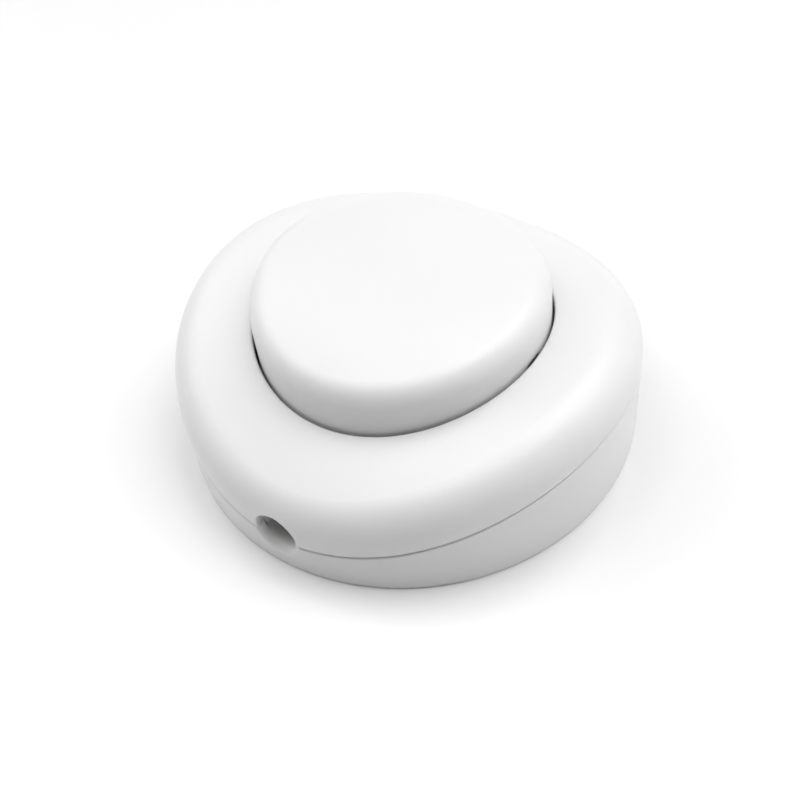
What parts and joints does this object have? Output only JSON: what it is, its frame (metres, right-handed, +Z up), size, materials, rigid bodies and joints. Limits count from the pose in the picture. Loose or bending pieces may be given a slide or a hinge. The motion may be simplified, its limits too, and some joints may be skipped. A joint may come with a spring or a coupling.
{
  "type": "foot switch",
  "caption": "Round white in-line foot switch for a lamp cord, with a large push button in an arched cover and a cord entry at each end.",
  "frame": {"origin": "centre of the underside of the base, on the surface that it stands on", "axes": "+Z up along the button's travel, X along the cord from one entry to the other"},
  "size_m": [0.0642, 0.0646, 0.0273],
  "materials": {
    "shell_plastic": "satin gloss moulded",
    "button_plastic": "satin gloss moulded",
    "carrier_plastic": "moulded",
    "mechanism_plastic": "moulded",
    "contact_brass": "stamped",
    "rivet_silver": "polished",
    "screw_steel": "zinc plated",
    "spring_steel": "drawn wire"
  },
  "bodies": {
    "housing": {"base_shell": "shell_plastic", "top_cover": "shell_plastic", "contact_carrier": "carrier_plastic", "mechanism_lid": "carrier_plastic", "carrier_screws": "screw_steel", "lid_screws": "screw_steel", "housing_screws": "screw_steel", "live_terminal_in": "contact_brass", "live_terminal_out": "contact_brass", "neutral_link": "contact_brass", "contact_rivets": "rivet_silver", "terminal_screws": "screw_steel", "cord_clamp_in": "carrier_plastic", "cord_clamp_out": "carrier_plastic", "cord_clamp_screws": "screw_steel", "rotor_spring": "spring_steel", "return_spring": "spring_steel"},
    "button": {"push_button": "button_plastic", "drive_stem": "mechanism_plastic", "stem_screw": "screw_steel"},
    "rotor": {"contact_rotor": "mechanism_plastic", "drive_ratchet": "mechanism_plastic", "contact_bridge": "contact_brass"}
  },
  "joints": [
    {"name": "button_press", "type": "slide", "parent": "housing", "child": "button", "axis": [0, 0, -1], "range_m": [0, 0.004], "stiffness_N_per_m": 2500, "springref_m": -0.002, "deforming": ["return_spring"]},
    {"name": "rotor_turn", "type": "hinge", "parent": "housing", "child": "rotor", "pos_m": [0, 0, 0.0112], "axis": [0, 0, 1], "range_deg": [0, 45]}
  ],
  "couplings": [
    {"joint": "rotor_turn", "follows": "button_press", "rad_per_m": 196.35}
  ]
}
